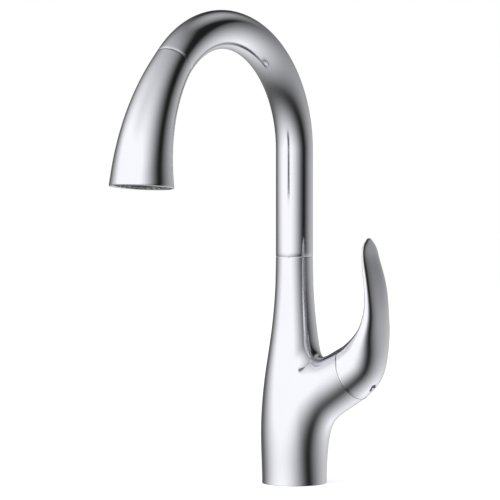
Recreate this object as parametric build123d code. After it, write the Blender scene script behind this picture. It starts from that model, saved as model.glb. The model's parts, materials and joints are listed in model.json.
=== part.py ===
from build123d import *
import os
from math import cos, degrees, pi, radians, sin, sqrt, tan

# Pull-down kitchen faucet, millimetres. +Z is up, the origin is the centre of the base
# on the worktop, the spout reaches towards -Y and the lever arm towards +X.

os.makedirs("parts", exist_ok=True)

# ---- driving dimensions ----
TUBE_R = 16.0            # spout tube, outside
TUBE_WALL = 1.5
ARCH_Z = 288.0           # where the straight riser ends and the arch begins
ARCH_R = 96.8            # arch centreline
DOCK_TURN = 137.5        # the arch turns this far to the spray head's joint
HEAD_R = 154.5           # spray head centreline
HEAD_TURN = 38.5
HEAD_STRAIGHT = 7.5
OUTLET_R = 25.9          # spray head radius at its mouth
FLARE_POWER = 1.24

# Body. A profile point is (radius, height).
BODY_TOP = 195.7
BODY_PROFILE = [(28.0, 0.0), (29.0, 42.0), (25.3, 94.5), (20.1, 130.0), (16.7, 168.0), (16.0, BODY_TOP)]
BODY_WALL = 3.2
CAVITY_TOP = 136.0
BASE_DEPTH = 14.0        # height of the plate that closes the base
BASE_BORE_R = 24.7
SOCKET_R = 13.0          # bore that the spout's coupling turns in
SOCKET_FLOOR = 146.0
HOSE_PASSAGE_R = 8.5
GASKET_R = 27.0
GASKET_HEIGHT = 1.3
STOP_HEIGHT = 160.0      # the screw that limits the spout's swing
STOP_SCREW_R = 2.45
STOP_DOG_R = 2.0
STOP_DOG_TIP = -11.0

# Base plate and the tubes inside the column
STUD_RADIUS = 12.5       # circle of the two fixing studs
STUD_HOLE_R = 2.5
STUD_DEPTH = 11.0
INLET_X = 8.0
INLET_Y = 9.6
OUTLET_X = 12.5
PORT_R = 4.5             # M10x1 sockets in the base
PORT_DEPTH = 9.5
SUPPLY_R = 3.0
SUPPLY_WALL = 0.8
SUPPLY_ENTRY = 3.5
SUPPLY_BEND = 7.0
GUIDE_R = 6.9
GUIDE_TOP = 46.0

# Arm: heights run along its axis from the seam with the lever
ARM_TILT = 22.5          # the arm's axis above the horizontal
SEAM = (61.0, 0.0, 97.5)
SEAM_R = 24.0
PIVOT_DEPTH = 12.0       # lever pivot, behind the seam plane
BALL_SEAT_R = sqrt(SEAM_R**2 + PIVOT_DEPTH**2)
LEVER_GAP = 0.25         # between the ball seat and the hollow in the lever
DOME_R = BALL_SEAT_R - 0.55
DOME_WALL = 2.2
DOME_HOLE_R = 16.3
CUP_R = 20.4
CUP_DEPTH = 40.5         # cartridge seat, behind the seam plane
CUP_FLOOR = 3.5
CUP_INLET_RISE = 3.0
CUP_OUTLET_DROP = 12.0

# Mixing cartridge
CARTRIDGE_R = 17.5
NUT_R = 19.4
NUT_LOW = -7.0
HOUSING_BORE_R = 15.9
ROTOR_R = 15.5
ROTOR_NECK_R = 12.2
ROTOR_LOW = -17.0
BASE_DISC_LOW = -39.5
BASE_DISC_TOP = -35.3
FIXED_TOP = -32.1        # of the fixed ceramic disc
MOVING_TOP = -28.5       # of the moving ceramic disc
DISC_R = 10.5
CARRIER_R = 10.8
WATERWAY_R = 2.2         # ports through the discs
DISC_PORT_SIDE = 6.5
DISC_OUTLET_DROP = 6.0
SEAL_R = 3.9
SEAL_CORD_R = 0.9
STEM = 8.0               # square of the lever stem
BALL_ARM = 10.0          # from the pivot down to the ball that moves the disc
BALL_R = 4.0
NECK_R = 3.0
NECK_ROOM = 5.4          # extra slot width where the ball's neck leans
PIN_R = 1.5
PIN_LENGTH = 29.0

# Lever
LEVER_SOCKET = (14.0, 27.2)    # lowest and highest point of the stem's socket
SCREW_MOUTH = (13.0, -19.5)    # along the arm's axis, and up from it
SCREW_AIM = (20.0, -4.0)
SET_SCREW_R = 2.45
SET_SCREW_HEX = 1.4
PLUG_R = 2.65

# Spout and hose
SPOUT_LOW = BODY_TOP + 0.6
COUPLING_R = 12.92
COUPLING_BORE_R = 7.6
COUPLING_TOP = 20.0      # above the spout tube's lower end
BUSH_HEIGHTS = {"lower": 149.0, "upper": 186.0}
BUSH_LENGTH = 6.0
FRICTION_HEIGHT = 175.0
COLLAR_TURN = 11.0       # part of the arch that the docking collar fills
COLLAR_BORE_R = 11.0
HOSE_R = 5.0
HOSE_BORE_R = 3.4
HOSE_END = 12.0          # the hose stops this far before the spray head's joint
HOSE_RUN = ARCH_Z + HOSE_END
HOSE_BEND = ARCH_R - HOSE_END / tan(radians(DOCK_TURN / 2))
FITTING_TOP = 14.5

# Spray head: heights run up from its mouth, or away from the spout at its joint
SHELL_WALL = 2.0
SHELL_GAP = 0.35
SHELL_SECTIONS = 9
SPIGOT_R = 10.7
SPIGOT_BORE_R = 8.3
SPIGOT_TIP = -18.0
PIPE_R = 6.85            # waterway inside the head
PIPE_BORE_R = 4.8
PIPE_START = 15.5
PIPE_END_HEIGHT = 39.6   # above the mouth
HOUSING_R = 13.5
HOUSING_LOW = 13.0
HOUSING_TOP = 42.0
SPOOL_R = 4.5
ROCKER_PAD = (13.0, 14.5, 39.5)    # width, lowest and highest height above the mouth
ROCKER_PROUD = 0.8
ROCKER_SIDE_GAP = 0.5
ROCKER_END_GAP = 1.1               # room for the rocker's ends as it tips
ROCKER_HEIGHT = 27.0     # selector pin, above the mouth
ROCKER_DEPTH = 17.0      # selector pin, behind the outlet axis
ROCKER_PIN_R = 1.25
FACE = (1.0, 3.0)        # underside and top of the spray face
FACE_R = 23.2
CHAMBER_R = 21.6
CHAMBER_TOP = 13.0
NOZZLE_RINGS = {19.5: 24, 15.0: 18}    # circle radius and number of nozzles
NOZZLE_R = 1.0
JET_R = 0.4
AERATOR_R = 10.1
AERATOR_BORE_R = 8.8

# Outlines of the arm and the lever
SECTION_POINTS = 24
SEAM_LOW = (SEAM[0] + SEAM_R * sin(radians(ARM_TILT)), SEAM[2] - SEAM_R * cos(radians(ARM_TILT)))
SEAM_HIGH = (SEAM[0] - SEAM_R * sin(radians(ARM_TILT)), SEAM[2] + SEAM_R * cos(radians(ARM_TILT)))
# Each section: outside (x, z), inside (x, z), half width, squareness.
ARM_SECTIONS = [
    ((22.0, 34.0), (-14.0, 82.0), 21.0, 2.0),
    ((38.3, 54.2), (9.0, 99.3), 22.2, 2.0),
    ((54.0, 65.4), (31.0, 109.2), 22.9, 2.0),
    (SEAM_LOW, SEAM_HIGH, SEAM_R, 2.0),
]
LEVER_SECTIONS = [
    (SEAM_LOW, SEAM_HIGH, SEAM_R, 2.0),
    ((84.2, 90.0), (54.3, 120.9), 22.6, 2.05),
    ((88.8, 102.0), (58.0, 123.2), 21.8, 2.1),
    ((90.4, 117.0), (65.0, 128.0), 21.2, 2.2),
    ((90.4, 131.5), (73.0, 135.5), 19.8, 2.35),
    ((89.9, 146.1), (77.9, 146.3), 17.2, 2.6),
    ((87.6, 165.6), (80.4, 164.5), 16.2, 2.9),
    ((83.4, 183.9), (78.3, 183.3), 14.7, 3.1),
    ((79.9, 197.8), (76.4, 197.4), 12.4, 3.0),
    ((78.6, 206.5), (75.8, 206.1), 8.6, 2.8),
    ((77.9, 211.2), (75.9, 210.9), 3.2, 2.3),
]

BASE = (Align.CENTER, Align.CENTER, Align.MIN)
CLEAR = 100.0            # longer than anything that it cuts


# ---- frames ----
def travel(heading):
    """Unit vector that starts straight up and turns forwards (-Y) by heading degrees."""
    return Vector(0, -sin(radians(heading)), cos(radians(heading)))


def arch_point(turn):
    angle = radians(turn)
    return Vector(0, -ARCH_R * (1 - cos(angle)), ARCH_Z + ARCH_R * sin(angle))


HEAD_ARC = HEAD_R * radians(HEAD_TURN)
HEAD_LENGTH = HEAD_ARC + HEAD_STRAIGHT
OUTLET_HEADING = DOCK_TURN + HEAD_TURN
DOCK_POINT = arch_point(DOCK_TURN)


def head_heading(distance):
    return DOCK_TURN + degrees(min(distance, HEAD_ARC) / HEAD_R)


def head_point(distance):
    """Point on the spray head's centreline, measured from its joint with the spout."""
    start = radians(DOCK_TURN)
    end = radians(head_heading(distance))
    along = Vector(0, -HEAD_R * (cos(start) - cos(end)), HEAD_R * (sin(end) - sin(start)))
    return DOCK_POINT + along + travel(OUTLET_HEADING) * max(0.0, distance - HEAD_ARC)


def head_radius(distance):
    return TUBE_R + (OUTLET_R - TUBE_R) * (distance / HEAD_LENGTH) ** FLARE_POWER


DOCK = Plane(origin=DOCK_POINT, x_dir=(1, 0, 0), z_dir=travel(DOCK_TURN))
OUTLET = Plane(origin=head_point(HEAD_LENGTH), x_dir=(1, 0, 0), z_dir=travel(OUTLET_HEADING) * -1)
ARM_AXIS = Vector(cos(radians(ARM_TILT)), 0, sin(radians(ARM_TILT)))
ARM = Plane(origin=SEAM, x_dir=(0, 1, 0), z_dir=ARM_AXIS)
COLUMN = Plane.XY
STOP = Plane(origin=(0, 0, STOP_HEIGHT), x_dir=(1, 0, 0), z_dir=(0, -1, 0))
PIVOT = ARM.location * Pos(0, 0, -PIVOT_DEPTH)
CROSSWAYS = Rot(0, 90, 0)
ROCKER_PIN = OUTLET.location * Pos(0, ROCKER_DEPTH, ROCKER_HEIGHT) * CROSSWAYS
ARCH_CENTRE = Vector(0, -ARCH_R, ARCH_Z)
HEAD_CENTRE = DOCK_POINT - Vector(0, cos(radians(DOCK_TURN)), sin(radians(DOCK_TURN))) * HEAD_R
WATERWAY_END = HEAD_LENGTH - PIPE_END_HEIGHT


def rod(frame, radius, low, high, x=0.0, y=0.0):
    """Solid cylinder along a frame's z axis, between two heights."""
    return frame.location * Pos(x, y, low) * Cylinder(radius, high - low, align=BASE)


def ring(frame, outer, inner, low, high, x=0.0, y=0.0):
    return rod(frame, outer, low, high, x, y) - rod(frame, inner, low - 1, high + 1, x, y)


def o_ring(frame, centre_r, cord_r, height):
    return frame.location * Pos(0, 0, height) * Torus(centre_r, cord_r)


def block(frame, width, depth, low, high, x=0.0, y=0.0):
    return frame.location * Pos(x, y, low) * Box(width, depth, high - low, align=BASE)


def save(name, shape):
    solids = shape.solids()
    kept = solids[0] if len(solids) == 1 else Compound(children=list(solids))
    export_step(kept, f"parts/{name}.step")


# ---- shared outlines ----
def section(outer, inner, half_width, squareness):
    """Closed outline across the arm or the lever; squareness 2 is an ellipse."""
    low = Vector(outer[0], 0, outer[1])
    high = Vector(inner[0], 0, inner[1])
    centre = (low + high) * 0.5
    across = (high - low) * 0.5
    points = []
    for step in range(SECTION_POINTS):
        angle = 2 * pi * step / SECTION_POINTS
        side = abs(cos(angle)) ** (2 / squareness) * (1 if cos(angle) > 0 else -1)
        rise = abs(sin(angle)) ** (2 / squareness) * (1 if sin(angle) > 0 else -1)
        points.append(centre + across * rise + Vector(0, half_width * side, 0))
    return Wire([Edge.make_spline(points, periodic=True)])


def lofted(sections):
    return Solid.make_loft([section(*values) for values in sections])


def body_of_revolution(inset):
    """The column's outside, or its inside when inset is a wall's thickness."""
    points = [Vector(radius - inset, 0, height) for radius, height in BODY_PROFILE]
    upright = Vector(0, 0, 1)
    side = Edge.make_spline(points, tangents=[upright, upright])
    foot = Edge.make_line((0, 0, 0), points[0])
    top = Edge.make_line(points[-1], (0, 0, BODY_TOP))
    axis = Edge.make_line((0, 0, BODY_TOP), (0, 0, 0))
    return Solid.revolve(Face(Wire([foot, side, top, axis])), 360, Axis.Z)


def bent(profile, start_turn, end_turn, centre, radius):
    """Sweep a flat profile along part of an arch of the given centre and radius."""
    angle = radians(start_turn)
    origin = centre + Vector(0, cos(angle), sin(angle)) * radius
    plane = Plane(origin=origin, x_dir=(1, 0, 0), z_dir=travel(start_turn))
    return revolve(plane * profile, Axis(centre, (1, 0, 0)), end_turn - start_turn)


def base_ports():
    """Hot inlet, cold inlet and mixed outlet, as (x, y) in the base."""
    return [(INLET_X, INLET_Y), (INLET_X, -INLET_Y), (OUTLET_X, 0.0)]


def cup_ports():
    """The same three waterways in the floor of the cartridge's cup, in the arm's frame."""
    return [(INLET_Y, CUP_INLET_RISE), (-INLET_Y, CUP_INLET_RISE), (0.0, -CUP_OUTLET_DROP)]


def disc_ports():
    return [(DISC_PORT_SIDE, CUP_INLET_RISE), (-DISC_PORT_SIDE, CUP_INLET_RISE), (0.0, -DISC_OUTLET_DROP)]


# ---- body ----
def faucet_body():
    column = body_of_revolution(0.0)
    hollow = body_of_revolution(BODY_WALL) & block(COLUMN, CLEAR, CLEAR, BASE_DEPTH, CAVITY_TOP)
    shell = column + lofted(ARM_SECTIONS) - hollow
    shell += rod(ARM, CUP_R, -CUP_DEPTH - CUP_FLOOR, -1.0)
    shell -= rod(ARM, CARTRIDGE_R + 0.1, -CUP_DEPTH, 5.0)
    shell -= rod(ARM, NUT_R + 0.1, NUT_LOW, 5.0)
    for side, rise in cup_ports():
        shell -= rod(ARM, SUPPLY_R + 0.05, -CUP_DEPTH - CUP_FLOOR - 2, -CUP_DEPTH + 1, side, rise)
    shell -= rod(COLUMN, BASE_BORE_R, -1, BASE_DEPTH)
    shell -= rod(COLUMN, GASKET_R, -1, GASKET_HEIGHT)
    shell -= rod(COLUMN, HOSE_PASSAGE_R, CAVITY_TOP - 5, SOCKET_FLOOR + 1)
    shell -= rod(COLUMN, SOCKET_R, SOCKET_FLOOR, BODY_TOP + 1)
    shell -= rod(STOP, STOP_SCREW_R + 0.05, -20, -10)
    return shell


def base_plate():
    plate = rod(COLUMN, BASE_BORE_R - 0.1, 0, BASE_DEPTH) - rod(COLUMN, GUIDE_R + 0.1, -1, BASE_DEPTH + 1)
    for side in (-1, 1):
        plate -= rod(COLUMN, STUD_HOLE_R, -1, STUD_DEPTH, 0, side * STUD_RADIUS)
    for x, y in base_ports():
        plate -= rod(COLUMN, PORT_R, -1, PORT_DEPTH, x, y)
        plate -= rod(COLUMN, SUPPLY_R - SUPPLY_WALL, PORT_DEPTH - 1, BASE_DEPTH + 1, x, y)
        plate -= rod(COLUMN, SUPPLY_R + 0.05, BASE_DEPTH - SUPPLY_ENTRY, BASE_DEPTH + 1, x, y)
    return plate


def hose_guide():
    liner = ring(COLUMN, GUIDE_R, HOSE_R + 0.7, 0.5, GUIDE_TOP)
    collar = ring(COLUMN, GUIDE_R + 1.7, HOSE_R + 0.7, BASE_DEPTH, BASE_DEPTH + 1.5)
    return liner + collar


def supply_tube(base_xy, cup_xy):
    """Copper tube from the base plate up the column and into the cartridge's cup."""
    entry = (ARM.location * Pos(cup_xy[0], cup_xy[1], -CUP_DEPTH - 1)).position
    run = (entry.X - base_xy[0]) / ARM_AXIS.X
    corner = entry - ARM_AXIS * run
    foot = Vector(base_xy[0], base_xy[1], BASE_DEPTH - SUPPLY_ENTRY)
    route = FilletPolyline(foot, corner, entry, radius=SUPPLY_BEND)
    tube = Plane(origin=foot) * (Circle(SUPPLY_R) - Circle(SUPPLY_R - SUPPLY_WALL))
    return sweep(tube, path=route)


def swivel_stop_screw():
    screw = rod(STOP, STOP_SCREW_R, -16.4, -13.2) + rod(STOP, STOP_DOG_R, -13.2, STOP_DOG_TIP)
    socket = STOP.location * Pos(0, 0, -16.5) * extrude(RegularPolygon(SET_SCREW_HEX, 6), 2.2)
    return screw - socket


# ---- mixing cartridge in the arm ----
def cartridge_housing():
    wall = ring(ARM, CARTRIDGE_R, HOUSING_BORE_R, BASE_DISC_TOP, NUT_LOW)
    shoulder = ring(ARM, CARTRIDGE_R, ROTOR_NECK_R + 0.4, NUT_LOW - 2, NUT_LOW)
    return wall + shoulder


def cartridge_base():
    disc = rod(ARM, CARTRIDGE_R, BASE_DISC_LOW, BASE_DISC_TOP)
    for outer, inner in zip(cup_ports(), disc_ports()):
        disc -= rod(ARM, WATERWAY_R, BASE_DISC_LOW - 1, BASE_DISC_LOW + 2.6, *outer)
        disc -= rod(ARM, WATERWAY_R, BASE_DISC_TOP - 2.6, BASE_DISC_TOP + 1, *inner)
        width = abs(outer[0] - inner[0]) + 3.0
        depth = abs(outer[1] - inner[1]) + 3.0
        centre = ((outer[0] + inner[0]) / 2, (outer[1] + inner[1]) / 2)
        disc -= block(ARM, width, depth, BASE_DISC_LOW + 1.4, BASE_DISC_TOP - 1.4, *centre)
        groove_top = BASE_DISC_LOW + SEAL_CORD_R
        disc -= ring(ARM, SEAL_R + SEAL_CORD_R, SEAL_R - SEAL_CORD_R, BASE_DISC_LOW - 1, groove_top, *outer)
    return disc


def cartridge_seals():
    height = -CUP_DEPTH + SEAL_CORD_R
    rings = [ARM.location * Pos(x, y, height) * Torus(SEAL_R, SEAL_CORD_R) for x, y in cup_ports()]
    return Compound(children=rings)


def ceramic_disc_fixed():
    disc = rod(ARM, ROTOR_R, BASE_DISC_TOP, FIXED_TOP)
    for x, y in disc_ports():
        disc -= rod(ARM, WATERWAY_R, BASE_DISC_TOP - 1, FIXED_TOP + 1, x, y)
    return disc


def ceramic_disc_moving():
    disc = rod(ARM, DISC_R, FIXED_TOP + 0.1, MOVING_TOP)
    return disc - rod(ARM, 6.0, FIXED_TOP - 1, FIXED_TOP + 1.8, 0, -4.0)


def disc_carrier():
    carrier = rod(ARM, CARRIER_R, MOVING_TOP, ROTOR_LOW - 0.6)
    slot = 2 * BALL_R + 0.6
    carrier -= block(ARM, slot, slot, MOVING_TOP + 2, ROTOR_LOW + 1)
    return carrier - block(ARM, slot, slot + NECK_ROOM, ROTOR_LOW - 4, ROTOR_LOW + 1)


def cartridge_rotor():
    rotor = rod(ARM, ROTOR_R, ROTOR_LOW, NUT_LOW - 2.3) + rod(ARM, ROTOR_NECK_R, NUT_LOW - 3, NUT_LOW + 1)
    rotor -= block(ARM, STEM + 0.8, 2 * STEM, ROTOR_LOW - 1, NUT_LOW + 2)
    return rotor - PIVOT * CROSSWAYS * Cylinder(PIN_R, CLEAR)


def stem_pivot_pin():
    return PIVOT * CROSSWAYS * Cylinder(PIN_R, PIN_LENGTH)


def cartridge_nut():
    nut = ring(ARM, NUT_R, ROTOR_NECK_R + 0.8, NUT_LOW, NUT_LOW + 4)
    for step in range(6):
        turn = ARM.location * Rot(0, 0, 60 * step) * Pos(ROTOR_NECK_R + 2, 0, NUT_LOW + 2.4)
        nut -= turn * Box(5, 4, 4, align=BASE)
    return nut


def dome_ring():
    dome = PIVOT * Sphere(DOME_R) - PIVOT * Sphere(DOME_R - DOME_WALL)
    dome = dome & block(ARM, CLEAR, CLEAR, 0, CLEAR)
    dome += ring(ARM, NUT_R, NUT_R - 1.8, -2.8, 5.5)
    return dome - rod(ARM, DOME_HOLE_R, -10, CLEAR)


# ---- lever ----
def arm_point(along, rise):
    return (ARM.location * Pos(0, rise, along)).position


SCREW = Plane(
    origin=arm_point(*SCREW_MOUTH),
    x_dir=(0, 1, 0),
    z_dir=arm_point(*SCREW_AIM) - arm_point(*SCREW_MOUTH),
)


def lever_handle():
    lever = lofted(LEVER_SECTIONS) - PIVOT * Sphere(BALL_SEAT_R + LEVER_GAP)
    lever -= block(ARM, STEM + 0.1, STEM + 0.1, LEVER_SOCKET[0], LEVER_SOCKET[1])
    lever -= rod(SCREW, PLUG_R + 0.05, -10, 5)
    lever -= rod(SCREW, SET_SCREW_R + 0.05, 4, 14.5)
    return lever


def lever_stem():
    stem = block(ARM, STEM, STEM, ROTOR_LOW, LEVER_SOCKET[1] - 0.2)
    ball_height = -PIVOT_DEPTH - BALL_ARM
    stem += rod(ARM, NECK_R, ball_height, ROTOR_LOW + 1)
    stem += ARM.location * Pos(0, 0, ball_height) * Sphere(BALL_R)
    return stem - PIVOT * CROSSWAYS * Cylinder(PIN_R + 0.05, CLEAR)


def lever_set_screw():
    screw = rod(SCREW, SET_SCREW_R, 6.5, 12.8)
    return screw - SCREW.location * Pos(0, 0, 6.4) * extrude(RegularPolygon(SET_SCREW_HEX, 6), 2.6)


def index_plug():
    plug = rod(SCREW, PLUG_R, 1.2, 4.2)
    return plug - SCREW.location * Pos(0, 0, 1.2) * Sphere(1.0)


# ---- spout ----
def spout_tube():
    riser = ring(COLUMN, TUBE_R, TUBE_R - TUBE_WALL, SPOUT_LOW, ARCH_Z)
    wall = Circle(TUBE_R) - Circle(TUBE_R - TUBE_WALL)
    return riser + bent(wall, 0, DOCK_TURN, ARCH_CENTRE, ARCH_R)


def slip_ring():
    return ring(COLUMN, TUBE_R - 0.2, COUPLING_R + 0.1, BODY_TOP + 0.05, SPOUT_LOW - 0.05)


def spout_coupling():
    sleeve = ring(COLUMN, COUPLING_R, COUPLING_BORE_R, SOCKET_FLOOR + 0.5, SPOUT_LOW)
    sleeve += ring(COLUMN, TUBE_R - TUBE_WALL - 0.05, COUPLING_BORE_R, SPOUT_LOW, SPOUT_LOW + COUPLING_TOP)
    for height in BUSH_HEIGHTS.values():
        sleeve -= ring(COLUMN, COUPLING_R + 1, COUPLING_R - 1.1, height - 0.05, height + BUSH_LENGTH + 0.05)
    sleeve -= ring(COLUMN, COUPLING_R + 1, COUPLING_R - 2.1, FRICTION_HEIGHT - 1.1, FRICTION_HEIGHT + 1.1)
    slot = ring(COLUMN, COUPLING_R + 1, 10.6, STOP_HEIGHT - 2.4, STOP_HEIGHT + 2.4)
    return sleeve - (slot & block(COLUMN, 40, 20, STOP_HEIGHT - 5, STOP_HEIGHT + 5, 0, 10.7))


def swivel_bush(name):
    height = BUSH_HEIGHTS[name]
    return ring(COLUMN, SOCKET_R - 0.07, COUPLING_R - 1.05, height, height + BUSH_LENGTH)


def friction_o_ring():
    return o_ring(COLUMN, COUPLING_R - 1.05, 1.0, FRICTION_HEIGHT)


def docking_collar():
    insert = bent(Circle(TUBE_R - TUBE_WALL - 0.05), DOCK_TURN - COLLAR_TURN, DOCK_TURN, ARCH_CENTRE, ARCH_R)
    mouth = DOCK.location * Pos(0, 0, -1.2) * Cone(COLLAR_BORE_R, COLLAR_BORE_R + 1.4, 1.4, align=BASE)
    return insert - rod(DOCK, COLLAR_BORE_R, -40, 5) - mouth


# ---- spray hose ----
def spray_hose():
    """The hose as it lies with the head docked: up the riser, round the arch, to its crimp."""
    wall = Circle(HOSE_R) - Circle(HOSE_BORE_R)
    riser = ring(COLUMN, HOSE_R, HOSE_BORE_R, FITTING_TOP, HOSE_RUN)
    return riser + bent(wall, 0, DOCK_TURN, Vector(0, -HOSE_BEND, HOSE_RUN), HOSE_BEND)


def hose_tail_fitting():
    return ring(COLUMN, HOSE_R + 0.4, HOSE_BORE_R, 0.5, FITTING_TOP)


def hose_crimp():
    crimp = rod(DOCK, 6.4, -HOSE_END + 0.1, -3) + rod(DOCK, 5.0, -3, 2) + rod(DOCK, 6.6, 2, 4)
    return crimp - rod(DOCK, HOSE_BORE_R, -HOSE_END - 1, 5)


# ---- spray head ----
def flared(inset, start, end):
    """Trumpet along the spray head's centreline, inset from its outside."""
    outlines = []
    for step in range(SHELL_SECTIONS):
        distance = start + (end - start) * step / (SHELL_SECTIONS - 1)
        plane = Plane(origin=head_point(distance), x_dir=(1, 0, 0), z_dir=travel(head_heading(distance)))
        outlines.append(Wire.make_circle(head_radius(distance) - inset, plane))
    return Solid.make_loft(outlines)


def spray_head_shell():
    shell = flared(0.0, SHELL_GAP, HEAD_LENGTH) - flared(SHELL_WALL, 0.2, HEAD_LENGTH)
    shell -= rod(OUTLET, OUTLET_R - SHELL_WALL, -1, 1.0)
    width, low, high = ROCKER_PAD
    window_low, window_high = low - ROCKER_END_GAP, high + ROCKER_END_GAP
    return shell - block(OUTLET, width + 2 * ROCKER_SIDE_GAP, 30, window_low, window_high, 0, 25)


def docking_spigot():
    spigot = ring(DOCK, SPIGOT_R, SPIGOT_BORE_R, SPIGOT_TIP, 4) + ring(DOCK, 13.6, SPIGOT_BORE_R, 0.8, 4)
    spigot -= ring(DOCK, SPIGOT_R + 1, 9.3, -9.8, -8.2)
    return spigot


def hose_swivel_nut():
    return ring(DOCK, 8.0, 5.3, -2.6, 1.7) + ring(DOCK, 8.0, 6.9, 1.7, 14)


def wand_pipe(profile):
    """Sweep a profile along the waterway's bend inside the head."""
    return bent(profile, head_heading(PIPE_START), head_heading(WATERWAY_END), HEAD_CENTRE, HEAD_R)


def wand_waterway():
    entry = ring(DOCK, PIPE_R, 5.8, 6.2, 17)
    return entry + wand_pipe(Circle(PIPE_R) - Circle(PIPE_BORE_R)) - rod(DOCK, 5.8, 6, PIPE_START)


def check_valve():
    body = ring(DOCK, 5.7, 4.4, 6.4, 15)
    seat = ring(DOCK, 5.0, 2.2, 8.0, 9.4)
    poppet = DOCK.location * Pos(0, 0, 9.6) * Cone(3.2, 1.0, 3.0, align=BASE)
    spider = block(DOCK, 9.6, 1.0, 12.4, 14.0) + block(DOCK, 1.0, 9.6, 12.4, 14.0)
    return body + seat + poppet + spider


def diverter_housing():
    housing = rod(OUTLET, HOUSING_R, HOUSING_LOW, HOUSING_TOP) - rod(OUTLET, SPOOL_R + 0.1, 12, 38)
    centre = OUTLET.to_local_coords(head_point(WATERWAY_END))
    housing -= rod(OUTLET, PIPE_BORE_R - 0.4, 37, HOUSING_TOP + 1, 0, centre.Y)
    housing -= block(OUTLET, 4.4, 11, ROCKER_HEIGHT - 2.9, ROCKER_HEIGHT + 2.9, 0, 9.5)
    for side in (-1, 1):
        housing += block(OUTLET, 1.8, 8, ROCKER_HEIGHT - 3, ROCKER_HEIGHT + 3, side * 7.7, 15)
    housing -= wand_pipe(Circle(PIPE_R + 0.05))
    return housing - ROCKER_PIN * Cylinder(ROCKER_PIN_R, CLEAR)


def selector_pin():
    return ROCKER_PIN * Cylinder(ROCKER_PIN_R, 17.0)


def selector_rocker():
    width, low, high = ROCKER_PAD
    skin = flared(-ROCKER_PROUD, 60, HEAD_LENGTH) - flared(SHELL_WALL + 0.2, 50, HEAD_LENGTH)
    pad = skin & block(OUTLET, width, 30, low, high, 0, 25)
    hub = block(OUTLET, 6.0, 8.5, ROCKER_HEIGHT - 2.5, ROCKER_HEIGHT + 2.5, 0, 18.6)
    tongue = block(OUTLET, 3.4, 14, ROCKER_HEIGHT - 1.5, ROCKER_HEIGHT + 1.5, 0, 10.2)
    return pad + hub + tongue - ROCKER_PIN * Cylinder(ROCKER_PIN_R + 0.05, CLEAR)


def diverter_spool():
    spool = rod(OUTLET, SPOOL_R, 16, 36) - ring(OUTLET, 6, 2.4, ROCKER_HEIGHT - 2, ROCKER_HEIGHT + 2)
    return spool - ring(OUTLET, 6, 3.4, 19, 21) - ring(OUTLET, 6, 3.4, 32, 34)


def nozzle_spots():
    """Places of the rubber nozzles on the spray face, in its own frame."""
    spots = []
    for radius, count in NOZZLE_RINGS.items():
        for step in range(count):
            angle = 2 * pi * step / count
            spots.append((radius * cos(angle), radius * sin(angle)))
    return spots


def spray_face():
    face = ring(OUTLET, FACE_R, AERATOR_R + 0.2, *FACE)
    holes = [rod(OUTLET, NOZZLE_R + 0.1, FACE[0] - 1, FACE[1] + 1, x, y) for x, y in nozzle_spots()]
    return face - holes


def nozzle_pad():
    pad = ring(OUTLET, CHAMBER_R, 11.8, FACE[1], FACE[1] + 1.4)
    pad += [rod(OUTLET, NOZZLE_R, FACE[0] - 0.7, FACE[1] + 0.5, x, y) for x, y in nozzle_spots()]
    return pad - [rod(OUTLET, JET_R, FACE[0] - 2, FACE[1] + 3, x, y) for x, y in nozzle_spots()]


def spray_chamber():
    chamber = ring(OUTLET, CHAMBER_R, 20.2, FACE[1] + 1.4, CHAMBER_TOP)
    chamber += ring(OUTLET, CHAMBER_R, 4.4, 11.4, CHAMBER_TOP)
    return chamber + ring(OUTLET, 11.7, AERATOR_R + 0.2, FACE[1], 11.4)


def aerator():
    insert = ring(OUTLET, AERATOR_R, AERATOR_BORE_R, 0.8, 11.3)
    for offset in range(-6, 7, 3):
        reach = 2 * sqrt((AERATOR_BORE_R + 0.4)**2 - offset**2)
        insert += block(OUTLET, 0.8, reach, 2.0, 3.0, offset, 0)
        insert += block(OUTLET, reach, 0.8, 2.0, 3.0, 0, offset)
    return insert


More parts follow.
